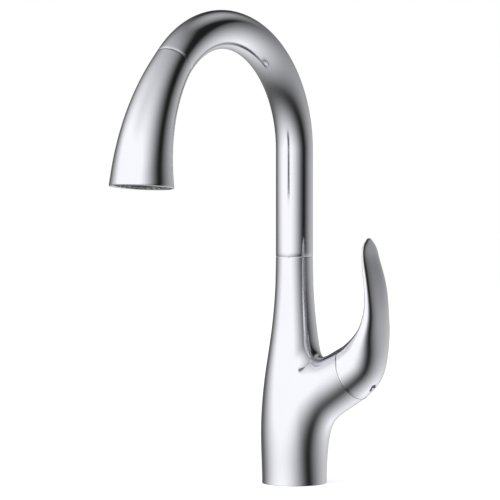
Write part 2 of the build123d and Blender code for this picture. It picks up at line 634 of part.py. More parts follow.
# ---- write every piece ----
BASE_XY = base_ports()
CUP_XY = cup_ports()
PIECES = {
    "faucet_body": faucet_body(),
    "base_plate": base_plate(),
    "base_gasket": ring(COLUMN, GASKET_R - 0.1, BASE_BORE_R + 0.1, 0, GASKET_HEIGHT),
    "hose_guide": hose_guide(),
    "hot_supply_tube": supply_tube(BASE_XY[0], CUP_XY[0]),
    "cold_supply_tube": supply_tube(BASE_XY[1], CUP_XY[1]),
    "mixed_water_tube": supply_tube(BASE_XY[2], CUP_XY[2]),
    "swivel_stop_screw": swivel_stop_screw(),
    "cartridge_housing": cartridge_housing(),
    "cartridge_base": cartridge_base(),
    "cartridge_seals": cartridge_seals(),
    "ceramic_disc_fixed": ceramic_disc_fixed(),
    "cartridge_nut": cartridge_nut(),
    "dome_ring": dome_ring(),
    "cartridge_rotor": cartridge_rotor(),
    "stem_pivot_pin": stem_pivot_pin(),
    "ceramic_disc_moving": ceramic_disc_moving(),
    "disc_carrier": disc_carrier(),
    "lever_handle": lever_handle(),
    "lever_stem": lever_stem(),
    "lever_set_screw": lever_set_screw(),
    "index_plug": index_plug(),
    "spout_tube": spout_tube(),
    "spout_coupling": spout_coupling(),
    "slip_ring": slip_ring(),
    "swivel_bush_lower": swivel_bush("lower"),
    "swivel_bush_upper": swivel_bush("upper"),
    "friction_o_ring": friction_o_ring(),
    "docking_collar": docking_collar(),
    "spray_hose": spray_hose(),
    "hose_tail_fitting": hose_tail_fitting(),
    "hose_crimp": hose_crimp(),
    "spray_head_shell": spray_head_shell(),
    "docking_spigot": docking_spigot(),
    "spigot_o_ring": o_ring(DOCK, 10.0, 0.7, -9.0),
    "hose_swivel_nut": hose_swivel_nut(),
    "filter_washer": ring(DOCK, 6.6, 3.4, 4.2, 6.0),
    "wand_waterway": wand_waterway(),
    "check_valve": check_valve(),
    "diverter_housing": diverter_housing(),
    "diverter_spool": diverter_spool(),
    "selector_rocker": selector_rocker(),
    "selector_pin": selector_pin(),
    "spray_face": spray_face(),
    "nozzle_pad": nozzle_pad(),
    "spray_chamber": spray_chamber(),
    "aerator": aerator(),
}
for piece_name, piece in PIECES.items():
    save(piece_name, piece)
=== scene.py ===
import json
import math

import bmesh
import bpy
import numpy as np
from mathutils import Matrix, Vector
from mathutils.bvhtree import BVHTree


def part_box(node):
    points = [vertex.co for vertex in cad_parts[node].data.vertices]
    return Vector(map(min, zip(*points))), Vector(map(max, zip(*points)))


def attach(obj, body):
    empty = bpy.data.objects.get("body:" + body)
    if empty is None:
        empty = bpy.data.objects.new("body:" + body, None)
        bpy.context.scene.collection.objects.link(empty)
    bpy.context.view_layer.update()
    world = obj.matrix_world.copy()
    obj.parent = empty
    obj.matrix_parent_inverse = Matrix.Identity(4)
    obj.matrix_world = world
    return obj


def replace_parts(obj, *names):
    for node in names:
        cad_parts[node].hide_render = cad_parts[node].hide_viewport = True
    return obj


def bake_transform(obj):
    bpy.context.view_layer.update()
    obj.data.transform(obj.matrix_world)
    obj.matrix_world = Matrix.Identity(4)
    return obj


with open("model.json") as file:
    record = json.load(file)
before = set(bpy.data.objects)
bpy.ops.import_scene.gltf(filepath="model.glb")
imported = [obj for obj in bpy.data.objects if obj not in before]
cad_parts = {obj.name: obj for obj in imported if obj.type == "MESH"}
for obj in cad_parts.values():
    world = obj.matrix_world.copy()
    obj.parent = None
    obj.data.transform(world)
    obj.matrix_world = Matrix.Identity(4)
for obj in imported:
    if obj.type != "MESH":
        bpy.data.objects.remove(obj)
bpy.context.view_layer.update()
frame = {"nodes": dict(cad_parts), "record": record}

# Pull-down kitchen faucet. +Z is up, the spout reaches towards -Y and the lever's arm points
# towards +X. Mesh code works in millimetres; build() and finish_body() turn them into metres.

MM = 0.001
ROUND = 96                  # points round a circular section
SHARP = 35.0                # degrees from which an edge is shaded sharp
CAD_SHARP = 28.0
PAD_SHARP = 60.0
LEVER_SHARP = 50.0
ON_SKIN = 0.02 * MM         # a corner this near the skin before a cut lies on it
SAME_WAY = 0.9              # cosine between two faces that look the same way
NO_NORMAL = Vector((0.0, 0.0, 0.0))    # leaves a corner's normal to the mesh
BODY, SPOUT, LEVER = "body", "spout", "lever"
HOSE_END, SPRAY_HEAD, SELECTOR = "hose_end", "spray_head", "selector"
JOINTS = {joint["name"]: joint for joint in frame["record"]["behaviour"]["joints"]}

X_AXIS = np.array((1.0, 0.0, 0.0))
Y_AXIS = np.array((0.0, 1.0, 0.0))
Z_AXIS = np.array((0.0, 0.0, 1.0))
ORIGIN = np.zeros(3)

# ---- spout tube and spray head, millimetres and degrees ----
TUBE_R = 16.0
TUBE_WALL = 1.5
ARCH_Z = 288.0              # where the straight riser bends into the arch
ARCH_R = 96.8
DOCK_TURN = 137.5           # the arch turns this far to the spray head's joint
HEAD_R = 154.5              # bend of the spray head's centreline
HEAD_TURN = 38.5
HEAD_STRAIGHT = 7.5
OUTLET_R = 25.9             # outside of the spray head at its mouth
FLARE_POWER = 1.24
SHELL_WALL = 2.0
SHELL_GAP = 0.35            # slit between the spout and the spray head
SHELL_LIP = 0.9             # rolled edge at the mouth
LIP_FOOT = 0.4              # how far the rolled edge runs back inside
INNER_START = 2.0           # from the mouth to the shell's plain inside
RIM = 0.25                  # softened rim of the spout tube and the spray head
RIM_MIDDLE = 0.1
RISER_ROWS = 26
ARCH_ROWS = 90
HEAD_ROWS = 96
HEAD_INNER_ROWS = 60

# ---- spray hose ----
HOSE_R = 5.0
HOSE_BORE_R = 3.4
HOSE_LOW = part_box("spray_hose")[0].z / MM
HOSE_STOP = 12.0            # the hose ends this far before the spray head's joint
HOSE_RISER_ROWS = 40
HOSE_ARCH_ROWS = 60
PULL = JOINTS["spray_pull_out"]["range_m"][1] / MM
STRETCH = 8.0               # length of the close rows at the hose's end, whose braid is laid out as when pulled right out
STRETCH_ROWS = 90
STRETCH_ROOM = 0.5          # least distance from them to the row before
BRAID_SCALE = 60.0

# ---- spray selector, heights above the mouth ----
PAD_WIDTH = 13.0
PAD_LOW = 14.5
PAD_HIGH = 39.5
PAD_PROUD = 0.8
PAD_CORNER = 3.0
PAD_EDGE = 0.55             # width of the rounding round its top
PAD_SKIRT = (-SHELL_WALL - 0.2, 0.0, PAD_PROUD - 0.5)    # heights of its side, above the shell
PAD_ROUNDING = ((0.05, 0.25), (0.25, 0.06), (PAD_EDGE, 0.0))    # (inset, drop) of each row
PAD_ROWS = 34
PAD_MIDDLE = 0.04           # share of its outline at which the rows end
REAR_GUESS = 20.0           # first guess of the shell's depth behind the outlet's axis
DISH = 0.35                 # depth of the hollow across its middle
DISH_REACH = 3.2
RIB_PITCH = 1.8
RIB_REACH = (5.2, 10.4)     # from and to, measured from its middle
RIB_HEIGHT = 0.28
RIB_FADE = 0.6
RIB_MARGIN = 1.4            # plain strip beside the ribs
RIB_SIDE_FADE = 0.8
WINDOW_SIDE = 0.5           # gap beside the pad
WINDOW_END = 1.1            # gap past its ends, where it tips
WINDOW_DEPTHS = (8.0, 40.0)

# ---- column, arm and lever ----
COLUMN_HEIGHTS = (0.0, 42.0, 94.5, 130.0, 168.0, 195.7)
COLUMN_RADII = (28.0, 29.0, 25.3, 20.1, 16.7, 16.0)
BODY_TOP = COLUMN_HEIGHTS[-1]
SPOUT_LOW = BODY_TOP + 0.15
SEAM_POINT = np.array((61.0, 0.0, 97.5))
SEAM_R = 24.0
ARM_TILT = math.radians(22.5)
PIVOT_DEPTH = 12.0          # lever pivot, behind the seam
SPHERE_R = math.hypot(SEAM_R, PIVOT_DEPTH) + 0.6    # hollow under the lever
EDGE = 0.5                  # softened rim at a seam
MELT = 21.0                 # how softly the arm grows out of the column
MELT_FROM = -4.0            # along +X, where the blend starts and where it is full
MELT_FULL = 22.0
GRID = 1.5                  # spacing of the samples that the casting is drawn from
GRID_LOW = np.array((-34.0, -34.0, -5.0))
GRID_HIGH = np.array((78.0, 34.0, 201.0))
ARM_CEILING = 140.0         # above this height the casting is the column alone
ARM_REACH = (-20.0, 16.0)   # how far past its two ends the arm's sections are searched
ARM_HALVINGS = 26
WELD = 0.05                 # points closer than this become one
LEVER_ROWS = 120
LEVER_FINE = 500            # sections from which the lever's rows are drawn
LEVER_ROUND = 112
RING_FINE = 721             # points from which a section's own points are drawn
TURN_WEIGHT = 0.8           # weight of a section's turning beside its length, where they are spread
ROW_BIAS = 1.15             # above 1, rows crowd towards the lever's rim
TIP_UP = np.array((-0.05, 0.0, 1.0))
TIP_HEIGHT = 0.9
HOLLOW_ROWS = 26
HOLLOW_MIDDLE = 0.06        # share of the radius at which the hollow's rows end
SCREW_MOUTH = (13.0, -19.5)    # along the arm's axis, and up from it
SCREW_AIM = (20.0, -4.0)
SCREW_HOLE_R = 2.7
SCREW_DEPTHS = (-8.0, 6.0)

# Rims of the body's openings, from the outside in: (radius, height above the rim's plane).
FOOT_STEPS = [(27.9, -0.1), (27.65, 0.0), (25.1, 0.0), (24.7, -0.4), (24.7, -14.0)]
TOP_STEPS = [(15.9, -0.1), (15.65, 0.0), (13.3, 0.0), (13.0, -0.3), (13.0, -49.7)]
SEAM_STEPS = [
    (23.9, -0.1), (23.65, 0.0), (19.8, 0.0), (19.5, -0.3), (19.5, -7.0), (17.6, -7.0), (17.6, -40.5)
]

# ---- camera and studio ----
CAMERA_AZIMUTH = math.radians(35.17)
CAMERA_ELEVATION = math.radians(0.47)
CAMERA_TARGET = Vector((0.0, 0.0, 0.205))
CAMERA_DISTANCE = 1.874
CAMERA_LENS = 155.97
AIM_RIGHT = -0.02049
AIM_UP = -0.00185
FLOOR_SIZE = 6.0
FLOOR_GLOW = 0.72

# Each light: degrees round from the camera's side, degrees up, degrees from its middle
# where it is full and where it is gone, sharpness of the fade, brightness.
LIGHTS = [
    (-46.0, 40.0, 20.0, 110.0, 0.95, 1.85),
    (139.0, -42.0, -45.0, 375.0, 4.1, 2.0),
    (142.0, 52.0, 0.0, 30.0, 0.7, 0.6),
]
SHADE = 0.765               # brightness that dark screens take away
CEILING = 0.4               # height of a unit direction above which the light dims
CEILING_DROP = 0.6
DEEPEST = 0.012             # what the screens still reflect
GLOW = 1.12

ARM_AXIS = np.array((math.cos(ARM_TILT), 0.0, math.sin(ARM_TILT)))
ARM_UP = np.array((-math.sin(ARM_TILT), 0.0, math.cos(ARM_TILT)))
PIVOT = SEAM_POINT - PIVOT_DEPTH * ARM_AXIS
SEAM_LOW = (SEAM_POINT[0] + SEAM_R * math.sin(ARM_TILT), SEAM_POINT[2] - SEAM_R * math.cos(ARM_TILT))
SEAM_HIGH = (SEAM_POINT[0] - SEAM_R * math.sin(ARM_TILT), SEAM_POINT[2] + SEAM_R * math.cos(ARM_TILT))

# Each section of the arm or the lever: outside (x, z), inside (x, z), half width, squareness.
ARM_SECTIONS = [
    ((22.0, 34.0), (-14.0, 82.0), 21.0, 2.0),
    ((38.3, 54.2), (9.0, 99.3), 22.2, 2.0),
    ((54.0, 65.4), (31.0, 109.2), 22.9, 2.0),
    (SEAM_LOW, SEAM_HIGH, SEAM_R, 2.0),
]
LEVER_SECTIONS = [
    (SEAM_LOW, SEAM_HIGH, SEAM_R, 2.0),
    ((84.2, 90.0), (54.3, 120.9), 22.6, 2.05),
    ((88.8, 102.0), (58.0, 123.2), 21.8, 2.1),
    ((90.4, 117.0), (65.0, 128.0), 21.2, 2.2),
    ((90.4, 131.5), (73.0, 135.5), 19.8, 2.35),
    ((89.9, 146.1), (77.9, 146.3), 17.2, 2.6),
    ((87.6, 165.6), (80.4, 164.5), 16.2, 2.9),
    ((83.4, 183.9), (78.3, 183.3), 14.7, 3.1),
    ((79.9, 197.8), (76.4, 197.4), 12.4, 3.0),
    ((78.6, 206.5), (75.8, 206.1), 8.6, 2.8),
    ((77.9, 211.2), (75.9, 210.9), 3.2, 2.3),
]


# ---- curves ----
class Spline:
    """Smooth curve through values at rising stations; flat ends stop it with no slope."""

    def __init__(self, stations, values, flat_ends=False):
        self.x = np.asarray(stations, float)
        self.y = np.asarray(values, float).reshape(len(self.x), -1)
        count = len(self.x)
        gap = np.diff(self.x)
        rise = np.diff(self.y, axis=0) / gap[:, None]
        matrix = np.zeros((count, count))
        right = np.zeros_like(self.y)
        for i in range(1, count - 1):
            matrix[i, i - 1] = 1 / gap[i - 1]
            matrix[i, i] = 2 / gap[i - 1] + 2 / gap[i]
            matrix[i, i + 1] = 1 / gap[i]
            right[i] = 3 * (rise[i - 1] / gap[i - 1] + rise[i] / gap[i])
        for end, beside, slope in ((0, 1, rise[0]), (-1, -2, rise[-1])):
            matrix[end, end] = 1.0 if flat_ends else 2.0
            if not flat_ends:
                matrix[end, beside] = 1.0
                right[end] = 3 * slope
        self.slope = np.linalg.solve(matrix, right)

    def __call__(self, t):
        """Values and slopes at stations t; past an end the curve goes straight on."""
        t = np.asarray(t, float)
        inside = np.clip(t, self.x[0], self.x[-1])
        i = np.clip(np.searchsorted(self.x, inside) - 1, 0, len(self.x) - 2)
        gap = (self.x[i + 1] - self.x[i])[..., None]
        u = (inside - self.x[i])[..., None] / gap
        y0, y1, m0, m1 = self.y[i], self.y[i + 1], self.slope[i] * gap, self.slope[i + 1] * gap
        value = y0 + u * m0 + u**2 * (3 * (y1 - y0) - 2 * m0 - m1) + u**3 * (2 * (y0 - y1) + m0 + m1)
        slope = (m0 + 2 * u * (3 * (y1 - y0) - 2 * m0 - m1) + 3 * u**2 * (2 * (y0 - y1) + m0 + m1)) / gap
        return value + slope * (t - inside)[..., None], slope


def ramp(value, width):
    """Rises from 0 to 1 over a width."""
    return min(max(value / width, 0.0), 1.0)


def section_spline(sections):
    """Spline through sections, with stations at the distances between their centres."""
    rows = np.array([(*outer, *inner, width, power) for outer, inner, width, power in sections])
    centres = (rows[:, 0:2] + rows[:, 2:4]) / 2
    steps = np.linalg.norm(np.diff(centres, axis=0), axis=1)
    return Spline(np.concatenate(([0.0], np.cumsum(steps))), rows)


COLUMN_CURVE = Spline(COLUMN_HEIGHTS, COLUMN_RADII, flat_ends=True)
ARM_CURVE = section_spline(ARM_SECTIONS)
LEVER_CURVE = section_spline(LEVER_SECTIONS)


def travel(heading):
    """Unit vector that starts straight up and turns forwards (-Y) by heading degrees."""
    return np.array((0.0, -math.sin(math.radians(heading)), math.cos(math.radians(heading))))


def arch_point(turn):
    """Point on the spout's arch, where it has turned by an angle in degrees."""
    angle = math.radians(turn)
    return np.array((0.0, -ARCH_R * (1 - math.cos(angle)), ARCH_Z + ARCH_R * math.sin(angle)))


HEAD_ARC = HEAD_R * math.radians(HEAD_TURN)
HEAD_LENGTH = HEAD_ARC + HEAD_STRAIGHT
OUTLET_HEADING = DOCK_TURN + HEAD_TURN
DOCK_POINT = arch_point(DOCK_TURN)


def head_heading(distance):
    """Heading of the spray head's centreline at a distance from its joint."""
    return DOCK_TURN + math.degrees(min(distance, HEAD_ARC) / HEAD_R)


def head_point(distance):
    """Point on the spray head's centreline, measured from its joint with the spout."""
    start, end = math.radians(DOCK_TURN), math.radians(head_heading(distance))
    along = np.array((0.0, -(math.cos(start) - math.cos(end)), math.sin(end) - math.sin(start)))
    return DOCK_POINT + HEAD_R * along + travel(OUTLET_HEADING) * max(0.0, distance - HEAD_ARC)


def head_radius(distance):
    """Outside radius of the spray head at a distance from its joint."""
    return TUBE_R + (OUTLET_R - TUBE_R) * (max(distance, 0.0) / HEAD_LENGTH) ** FLARE_POWER


OUTLET_POINT = head_point(HEAD_LENGTH)
OUTLET_UP = -travel(OUTLET_HEADING)
OUTLET_REAR = np.cross(OUTLET_UP, X_AXIS)


# ---- mesh helpers ----
def circle(centre, across, upward, radius, count=ROUND):
    """Ring of points, from the across direction towards the upward one."""
    angle = np.arange(count) * 2 * math.pi / count
    return centre + radius * (np.outer(np.cos(angle), across) + np.outer(np.sin(angle), upward))


def skin(rows, loop=False):
    """Surface through equal rings: a loop joins its ends, or each ends on a middle point."""
    rows = np.asarray(rows, float)
    count, width = rows.shape[:2]
    index = np.arange(count * width).reshape(count, width)
    lower = index if loop else index[:-1]
    upper = np.roll(index, -1, axis=0) if loop else index[1:]
    quads = np.stack((lower, np.roll(lower, -1, 1), np.roll(upper, -1, 1), upper), axis=-1)
    faces = quads.reshape(-1, 4).tolist()
    points = rows.reshape(-1, 3)
    if not loop:
        points = np.vstack((points, rows[0].mean(0), rows[-1].mean(0)))
        low, high = count * width, count * width + 1
        faces += [(low, index[0, (i + 1) % width], index[0, i]) for i in range(width)]
        faces += [(high, index[-1, i], index[-1, (i + 1) % width]) for i in range(width)]
    return points, faces


def add_object(name, data):
    """New object in the scene."""
    thing = bpy.data.objects.new(name, data)
    bpy.context.scene.collection.objects.link(thing)
    return thing


def smooth_off_edges(mesh, sharp=SHARP):
    """Shade a mesh smooth, apart from edges sharper than an angle in degrees."""
    mesh.shade_smooth()
    mesh.set_sharp_from_angle(angle=math.radians(sharp))


def build(name, points, faces, slot, body=None, sharp=SHARP):
    """Closed smooth-shaded piece from millimetre points, with its faces turned outwards."""
    mesh = bpy.data.meshes.new(name)
    mesh.from_pydata((np.asarray(points) * MM).tolist(), [], faces)
    work = bmesh.new()
    work.from_mesh(mesh)
    bmesh.ops.remove_doubles(work, verts=work.verts, dist=1e-7)
    bmesh.ops.recalc_face_normals(work, faces=work.faces)
    work.to_mesh(mesh)
    work.free()
    smooth_off_edges(mesh, sharp)
    mesh.materials.append(MATERIALS[slot])
    piece = add_object(name, mesh)
    if body:
        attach(piece, body)
    return piece


def cut(piece, cutter):
    """Take the cutter's volume away, keeping the smooth normals of what is left."""
    before = BVHTree.FromObject(piece, bpy.context.evaluated_depsgraph_get())
    smooth = [v.normal.copy() for v in piece.data.vertices]
    places = [v.co.copy() for v in piece.data.vertices]
    corners = [tuple(p.vertices) for p in piece.data.polygons]
    mesh = subtract(piece, cutter)
    normals = []
    for polygon in mesh.polygons:
        for loop in polygon.loop_indices:
            place = mesh.vertices[mesh.loops[loop].vertex_index].co
            _, facing, face, far = before.find_nearest(place)
            on_skin = far < ON_SKIN and facing.dot(polygon.normal) > SAME_WAY
            normals.append(weighted(place, corners[face], places, smooth) if on_skin else NO_NORMAL)
    mesh.normals_split_custom_set(normals)


def subtract(piece, cutter):
    """Replace the piece's mesh with one without the cutter's volume; the cutter goes."""
    change = piece.modifiers.new("cut", "BOOLEAN")
    change.operation = "DIFFERENCE"
    change.solver = "EXACT"
    change.object = cutter
    graph = bpy.context.evaluated_depsgraph_get()
    mesh = bpy.data.meshes.new_from_object(piece.evaluated_get(graph))
    piece.modifiers.clear()
    piece.data = mesh
    bpy.data.objects.remove(cutter)
    smooth_off_edges(mesh)
    return mesh


def weighted(place, corners, places, smooth):
    """Normal at a place on a face, from its corners' normals by their nearness."""
    total = Vector((0.0, 0.0, 0.0))
    for corner in corners:
        total += smooth[corner] / ((places[corner] - place).length + 1e-6) ** 2
    return total.normalized()


# ---- materials ----
def shader(name, base, roughness, metallic=0.0):
    """Material, its node tree and its Principled shader."""
    material = bpy.data.materials.new(name)
    material.use_nodes = True
    surface = material.node_tree.nodes["Principled BSDF"]
    surface.inputs["Base Color"].default_value = (*base, 1.0)
    surface.inputs["Roughness"].default_value = roughness
    surface.inputs["Metallic"].default_value = metallic
    return material, material.node_tree, surface


def noise(tree, scale, detail=3.0, stretch=(1.0, 1.0, 1.0)):
    """Noise in the object's own metres, stretched along its axes."""
    place = tree.nodes.new("ShaderNodeTexCoord")
    mapping = tree.nodes.new("ShaderNodeMapping")
    mapping.inputs["Scale"].default_value = stretch
    texture = tree.nodes.new("ShaderNodeTexNoise")
    texture.inputs["Scale"].default_value = scale
    texture.inputs["Detail"].default_value = detail
    tree.links.new(place.outputs["Object"], mapping.inputs["Vector"])
    tree.links.new(mapping.outputs["Vector"], texture.inputs["Vector"])
    return texture.outputs["Fac"]


def vary(tree, source, low, high, socket):
    """Set a socket from low to high by a texture."""
    scale = tree.nodes.new("ShaderNodeMapRange")
    scale.inputs["From Min"].default_value = 0.3
    scale.inputs["From Max"].default_value = 0.7
    scale.inputs["To Min"].default_value = low
    scale.inputs["To Max"].default_value = high
    tree.links.new(source, scale.inputs["Value"])
    tree.links.new(scale.outputs["Result"], socket)


def tint(tree, source, dark, light, socket):
    """Colour a socket from dark to light by a texture."""
    colours = tree.nodes.new("ShaderNodeValToRGB")
    for stop, place, colour in zip(colours.color_ramp.elements, (0.35, 0.65), (dark, light)):
        stop.position = place
        stop.color = (*colour, 1.0)
    tree.links.new(source, colours.inputs["Fac"])
    tree.links.new(colours.outputs["Color"], socket)


def bump(tree, source, strength, distance, surface):
    """Relief from a texture; the distance is in metres."""
    relief = tree.nodes.new("ShaderNodeBump")
    relief.inputs["Strength"].default_value = strength
    relief.inputs["Distance"].default_value = distance
    tree.links.new(source, relief.inputs["Height"])
    tree.links.new(relief.outputs["Normal"], surface.inputs["Normal"])


def chrome():
    """Polished plating: faint polishing haze and the slightest orange peel."""
    material, tree, surface = shader("chrome_plate", (0.85, 0.855, 0.9), 0.13, 1.0)
    haze = noise(tree, 45.0, 4.0)
    clouds = noise(tree, 9.0, 2.0)
    vary(tree, haze, 0.12, 0.14, surface.inputs["Roughness"])
    tint(tree, clouds, (0.835, 0.84, 0.89), (0.855, 0.86, 0.91), surface.inputs["Base Color"])
    bump(tree, noise(tree, 900.0, 2.0), 0.02, 0.0002, surface)
    return material


def metal(name, dark, light, roughness, grain):
    """Machined or drawn metal with fine lines along its grain."""
    material, tree, surface = shader(name, light, roughness, 1.0)
    lines = noise(tree, 700.0, 3.0, grain)
    tint(tree, lines, dark, light, surface.inputs["Base Color"])
    vary(tree, lines, roughness - 0.06, roughness + 0.08, surface.inputs["Roughness"])
    bump(tree, lines, 0.15, 0.00005, surface)
    return material


def moulded(name, dark, light, roughness, relief=0.15):
    """Moulded plastic or rubber with a fine matt grain."""
    material, tree, surface = shader(name, light, roughness)
    grain = noise(tree, 1500.0, 2.0)
    tint(tree, noise(tree, 60.0, 3.0), dark, light, surface.inputs["Base Color"])
    vary(tree, grain, roughness - 0.05, roughness + 0.05, surface.inputs["Roughness"])
    bump(tree, grain, relief, 0.00008, surface)
    return material


def math_node(tree, operation, first, second=None):
    """Result of an operation on one or two numbers or sockets."""
    node = tree.nodes.new("ShaderNodeMath")
    node.operation = operation
    for socket, value in zip(node.inputs, (first, second)):
        if isinstance(value, (int, float)):
            socket.default_value = value
        elif value is not None:
            tree.links.new(value, socket)
    return node.outputs["Value"]


def braid():
    """Woven hose cover: two sets of strands cross along the hose's own length."""
    material, tree, surface = shader("woven_hose", (0.45, 0.46, 0.48), 0.42)
    place = tree.nodes.new("ShaderNodeUVMap")
    heights = []
    for lean in (1.0, -1.0):
        turn = tree.nodes.new("ShaderNodeMapping")
        turn.inputs["Rotation"].default_value = (0.0, 0.0, lean * math.radians(45.0))
        wave = tree.nodes.new("ShaderNodeTexWave")
        wave.inputs["Scale"].default_value = BRAID_SCALE
        tree.links.new(place.outputs["UV"], turn.inputs["Vector"])
        tree.links.new(turn.outputs["Vector"], wave.inputs["Vector"])
        heights.append(wave.outputs["Fac"])
    weave = math_node(tree, "MULTIPLY", *heights)
    tint(tree, weave, (0.13, 0.135, 0.145), (0.56, 0.57, 0.6), surface.inputs["Base Color"])
    bump(tree, weave, 0.6, 0.0004, surface)
    return material


MATERIALS = {
    "chrome": chrome(),
    "brass": metal("machined_brass", (0.66, 0.5, 0.25), (0.8, 0.64, 0.36), 0.3, (1.0, 1.0, 6.0)),
    "copper": metal("drawn_copper", (0.62, 0.33, 0.2), (0.78, 0.47, 0.32), 0.28, (6.0, 6.0, 1.0)),
    "steel": metal("stainless_steel", (0.5, 0.5, 0.52), (0.66, 0.66, 0.68), 0.3, (1.0, 1.0, 8.0)),
    "white_plastic": moulded("white_acetal", (0.8, 0.8, 0.78), (0.88, 0.88, 0.86), 0.45),
    "grey_plastic": moulded("grey_moulding", (0.07, 0.072, 0.08), (0.105, 0.108, 0.118), 0.38),
    # Index cap drawn much darker than its slot's own light grey: painted shade standing in for the shade
    # of the recess it sits in.
    "index_plastic": moulded("index_cap_painted_shade", (0.09, 0.09, 0.1), (0.14, 0.14, 0.15), 0.25, 0.05),
    "ceramic": moulded("lapped_ceramic", (0.88, 0.88, 0.85), (0.94, 0.94, 0.91), 0.18, 0.03),
    "rubber": moulded("black_rubber", (0.035, 0.035, 0.04), (0.06, 0.06, 0.065), 0.6, 0.3),
    "nozzle_rubber": moulded("nozzle_silicone", (0.1, 0.1, 0.11), (0.15, 0.15, 0.16), 0.5, 0.2),
    "hose_braid": braid(),
}


def dress_cad_nodes():
    """Give every kept CAD node the finish of its slot and smooth shading off its edges."""
    for part in frame["record"]["subparts"]:
        mesh = frame["nodes"][part["node"]].data
        mesh.materials.clear()
        mesh.materials.append(MATERIALS[part["material_slot"]])
        smooth_off_edges(mesh, CAD_SHARP)


# ---- faucet body ----
def column_distance(points):
    """Distance to the turned column, close to exact near its surface."""
    value, slope = COLUMN_CURVE(points[:, 2])
    return (np.hypot(points[:, 0], points[:, 1]) - value[:, 0]) / np.sqrt(1 + slope[:, 0] ** 2)


def past_section(x, z, station):
    """Where points lie against the arm's section at a station: past it, and along it."""
    value = ARM_CURVE(station)[0]
    centre_x, centre_z = (value[..., 0] + value[..., 2]) / 2, (value[..., 1] + value[..., 3]) / 2
    across_x, across_z = (value[..., 2] - value[..., 0]) / 2, (value[..., 3] - value[..., 1]) / 2
    size = np.hypot(across_x, across_z)
    beyond = ((x - centre_x) * across_z - (z - centre_z) * across_x) / size
    along = ((x - centre_x) * across_x + (z - centre_z) * across_z) / size
    return beyond, along, size, value[..., 4]


def arm_distance(points):
    """Distance to the arm: halving finds the section that each point lies in."""
    x, y, z = points.T
    low = np.full(len(x), ARM_REACH[0])
    high = np.full(len(x), ARM_CURVE.x[-1] + ARM_REACH[1])
    for _ in range(ARM_HALVINGS):
        middle = (low + high) / 2
        further = past_section(x, z, middle)[0] > 0
        low = np.where(further, middle, low)
        high = np.where(further, high, middle)
    _, along, size, width = past_section(x, z, (low + high) / 2)
    rho = np.sqrt((along / size) ** 2 + (y / width) ** 2) + 1e-9
    steep = np.sqrt((along / size**2) ** 2 + (y / width**2) ** 2) / rho + 1e-9
    root = -past_section(x, z, np.zeros(len(x)))[0]
    return np.maximum((rho - 1) / steep, root)


def body_distance(points):
    """Signed distance to the column melted into its arm."""
    column, arm = column_distance(points), arm_distance(points)
    share = np.clip((points[:, 0] - MELT_FROM) / (MELT_FULL - MELT_FROM), 0.0, 1.0)
    reach = MELT * share**2 * (3 - 2 * share) + 1e-6
    near = np.maximum(reach - np.abs(column - arm), 0.0) / reach
    return np.minimum(column, arm) - near**3 * reach / 6


def body_gradient(points, step=0.02):
    """Slope of the casting's distance at points, from a small step each way."""
    steps = step * np.eye(3)
    slopes = [(body_distance(points + s) - body_distance(points - s)) / (2 * step) for s in steps]
    return np.stack(slopes, axis=1)


CELL_CORNERS = [(i, j, k) for i in (0, 1) for j in (0, 1) for k in (0, 1)]


def corner_values(samples, corner):
    """The samples at one corner of every cell."""
    return samples[tuple(slice(c, c + n - 1) for c, n in zip(corner, samples.shape))]


def edge_crossings(field):
    """Sum and number of the places where the surface crosses each cell's edges."""
    shape = tuple(n - 1 for n in field.shape)
    total = np.zeros((*shape, 3))
    crossings = np.zeros(shape)
    for a in CELL_CORNERS:
        for axis in range(3):
            if a[axis]:
                continue
            b = tuple(a[i] + (1 if i == axis else 0) for i in range(3))
            fa, fb = corner_values(field, a), corner_values(field, b)
            crossed = (fa < 0) != (fb < 0)
            share = np.where(crossed, fa / np.where(crossed, fa - fb, 1.0), 0.0)
            for i in range(3):
                total[..., i] += np.where(crossed, a[i] + (share if i == axis else 0.0), 0.0)
            crossings += crossed
    return total, crossings


def crossed_quads(inside, number, axis):
    """A quad round each edge along one axis that the surface crosses, turned outwards."""
    u, v = (axis + 1) % 3, (axis + 2) % 3
    here = np.argwhere(np.diff(inside, axis=axis))
    here = here[(here[:, u] > 0) & (here[:, v] > 0)]
    here = here[(here[:, u] < number.shape[u]) & (here[:, v] < number.shape[v])]
    ring = []
    for du, dv in ((-1, -1), (0, -1), (0, 0), (-1, 0)):
        cell = here.copy()
        cell[:, u] += du
        cell[:, v] += dv
        ring.append(number[tuple(cell.T)])
    quads = np.stack(ring, axis=1)
    outward = inside[tuple(here.T)]
    quads[~outward] = quads[~outward][:, ::-1]
    return quads


def surface_net(field, low, spacing):
    """Points and quads of the surface where a sampled field changes sign."""
    inside = field < 0
    count = sum(corner_values(inside, c).astype(np.int8) for c in CELL_CORNERS)
    active = (count > 0) & (count < len(CELL_CORNERS))
    total, crossings = edge_crossings(field)
    number = np.full(active.shape, -1)
    number[active] = np.arange(active.sum())
    points = low + spacing * (np.argwhere(active) + total[active] / crossings[active][:, None])
    return points, np.concatenate([crossed_quads(inside, number, axis) for axis in range(3)])


def casting_surface():
    """Points and quads of the casting's outside, moved onto its exact shape."""
    counts = np.ceil((GRID_HIGH - GRID_LOW) / GRID).astype(int)
    axes = [GRID_LOW[i] + GRID * np.arange(counts[i]) for i in range(3)]
    places = np.stack(np.meshgrid(*axes, indexing="ij"), axis=-1).reshape(-1, 3)
    near = places[:, 2] < ARM_CEILING
    field = column_distance(places)
    field[near] = body_distance(places[near])
    points, faces = surface_net(field.reshape(counts), GRID_LOW, GRID)
    for _ in range(3):
        slope = body_gradient(points)
        points -= (body_distance(points) / (slope**2).sum(1))[:, None] * slope
    return points, faces


def trim(work, place, axis):
    """Cut away what lies past a plane."""
    everything = work.verts[:] + work.edges[:] + work.faces[:]
    bmesh.ops.bisect_plane(work, geom=everything, plane_co=place, plane_no=axis, clear_outer=True)
    bmesh.ops.remove_doubles(work, verts=work.verts, dist=WELD)


